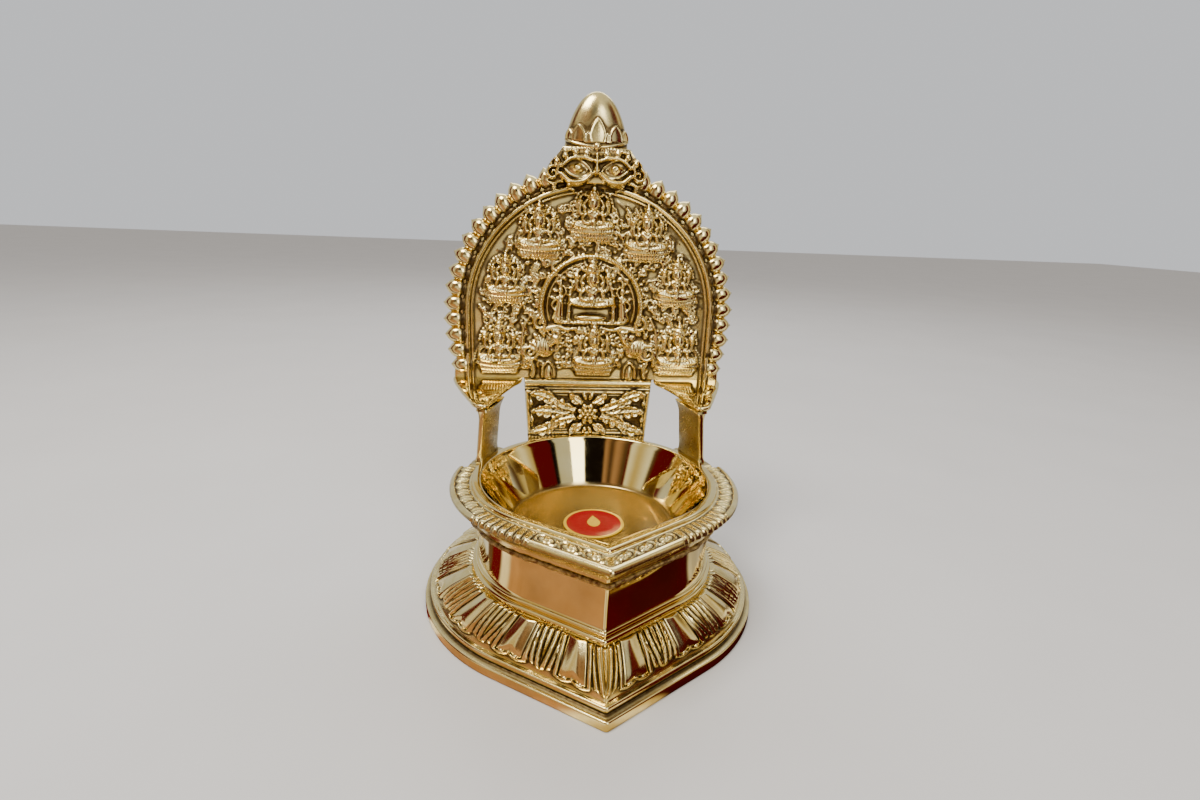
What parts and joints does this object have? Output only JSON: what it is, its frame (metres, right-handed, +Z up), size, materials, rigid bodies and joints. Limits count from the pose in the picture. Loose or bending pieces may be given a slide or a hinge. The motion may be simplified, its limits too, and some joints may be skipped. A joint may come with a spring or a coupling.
{
  "type": "standing oil lamp",
  "caption": "Brass standing oil lamp: heart-shaped foot and waist, pointed oil bowl with a flange, and an arched relief plate behind it on a stem and two side brackets.",
  "frame": {"origin": "on the ground under the middle of the lamp's bounding box", "axes": "+Z up, -Y towards the bowl's point, +Y towards the back plate, +X to the right seen from the front"},
  "size_m": [0.12, 0.132, 0.1778],
  "materials": {
    "cast_brass": "cast petals, lightly polished, darker in the hollows",
    "polished_brass": "mirror polished",
    "relief_brass": "cast relief, bright on the high points, darker in the hollows",
    "solder": "rough bead",
    "steel": "zinc plated",
    "label": "red foil with a yellow rim"
  },
  "bodies": {
    "root": {"foot": "cast_brass", "waist": "polished_brass", "solder_seam": "solder", "bowl": "polished_brass", "tie_bolt": "steel", "tie_washer": "steel", "back_plate": "relief_brass", "left_bracket": "polished_brass", "right_bracket": "polished_brass", "left_stem_screw": "steel", "right_stem_screw": "steel", "left_lug_screw": "steel", "right_lug_screw": "steel", "foil_label": "label"}
  },
  "joints": []
}
